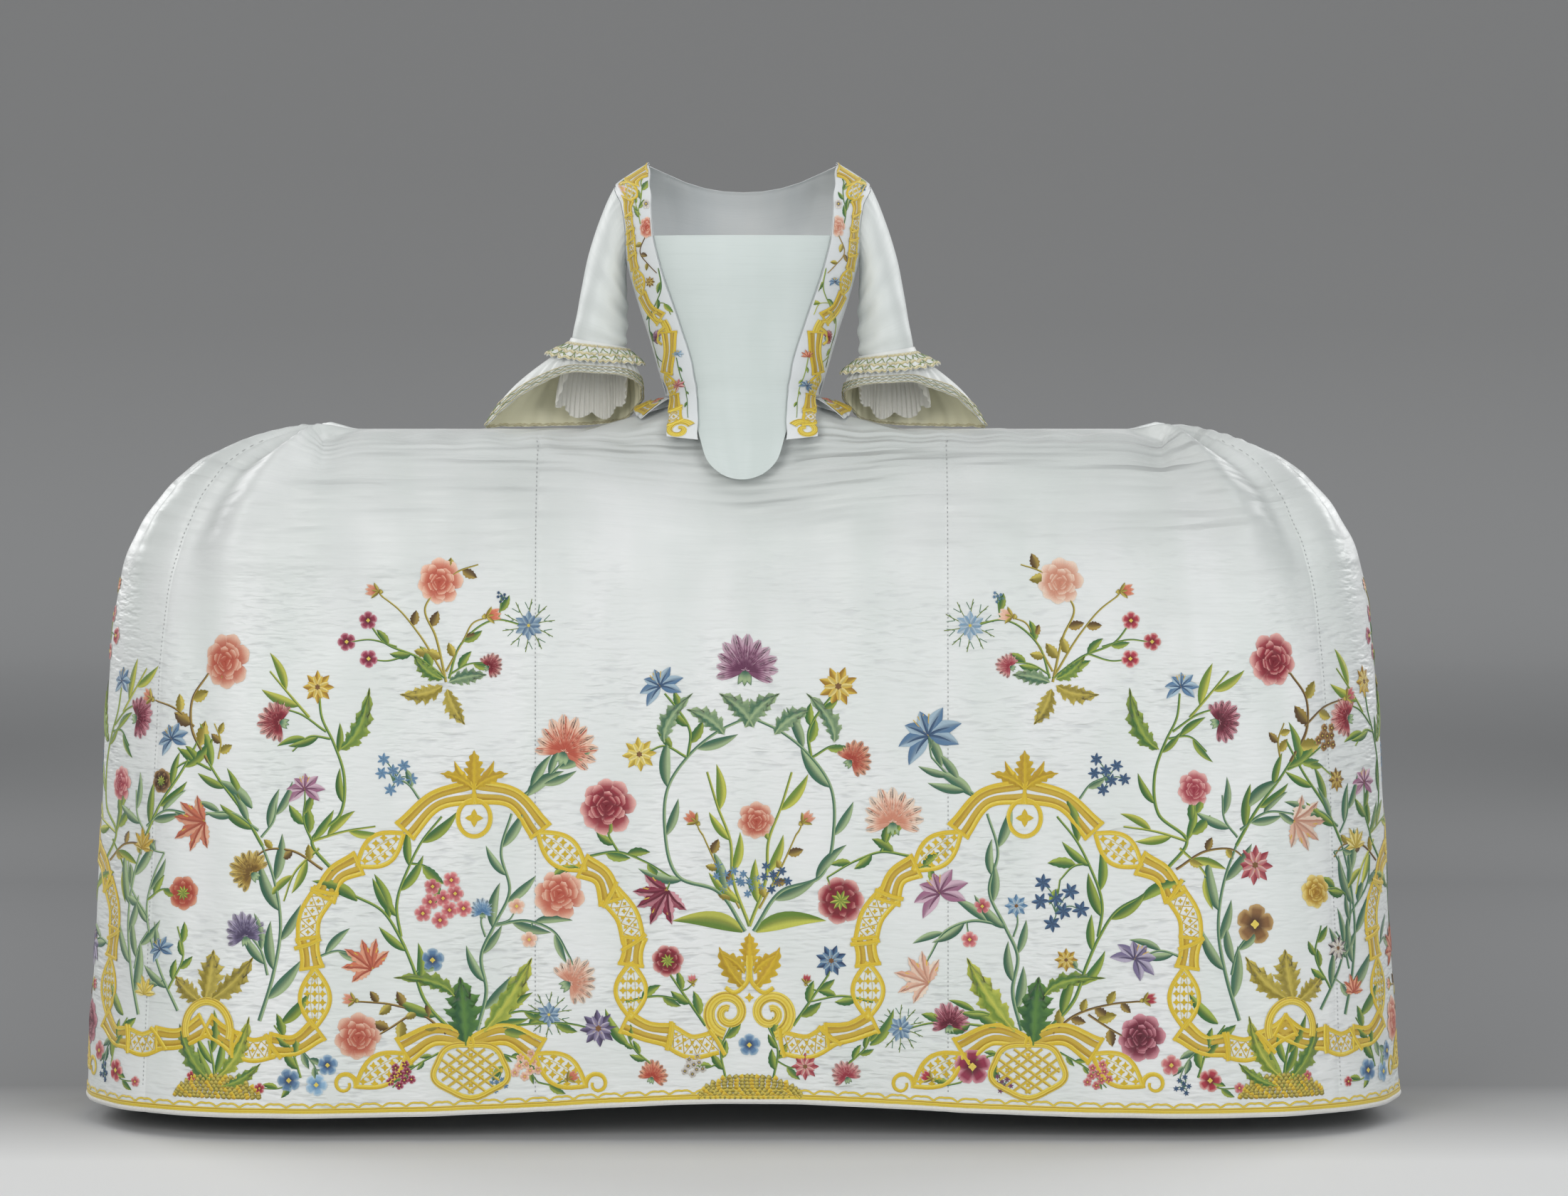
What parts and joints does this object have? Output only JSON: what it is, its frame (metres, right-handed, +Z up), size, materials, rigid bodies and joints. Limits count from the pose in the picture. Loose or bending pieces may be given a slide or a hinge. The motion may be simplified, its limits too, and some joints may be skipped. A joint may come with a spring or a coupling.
{
  "type": "court mantua gown",
  "caption": "Court mantua gown of embroidered silk, worn over wide side hoops: petticoat, stomacher, robed bodice with flounced sleeves, and a train.",
  "frame": {"origin": "middle of the wearer's waist, at the height of the bodice's foot", "axes": "+Z up, -Y the way the wearer faces, +X to the wearer's left across the wide petticoat"},
  "size_m": [1.9212, 0.5946, 1.361],
  "materials": {
    "silk": "satin",
    "stomacher_silk": "matte",
    "embroidered_silk": "satin",
    "lining_silk": "matte",
    "ruffle_silk": "satin",
    "linen": "matte"
  },
  "bodies": {
    "root": {"petticoat_center_front": "embroidered_silk", "petticoat_front_left": "embroidered_silk", "petticoat_front_right": "embroidered_silk", "petticoat_side_left": "embroidered_silk", "petticoat_side_right": "embroidered_silk", "petticoat_back_left": "embroidered_silk", "petticoat_back_right": "embroidered_silk", "petticoat_center_back": "embroidered_silk", "petticoat_waistband": "silk", "bodice_front_left": "silk", "bodice_front_right": "silk", "bodice_back": "silk", "stomacher": "stomacher_silk", "robing_left": "embroidered_silk", "robing_right": "embroidered_silk", "sleeve_left": "silk", "sleeve_right": "silk", "cuff_ruffle_left": "ruffle_silk", "cuff_ruffle_right": "ruffle_silk", "flounce_left": "ruffle_silk", "flounce_right": "ruffle_silk", "flounce_lining_left": "lining_silk", "flounce_lining_right": "lining_silk", "inner_flounce_left": "linen", "inner_flounce_right": "linen", "overskirt_left": "embroidered_silk", "overskirt_right": "embroidered_silk", "train": "silk"}
  },
  "joints": []
}
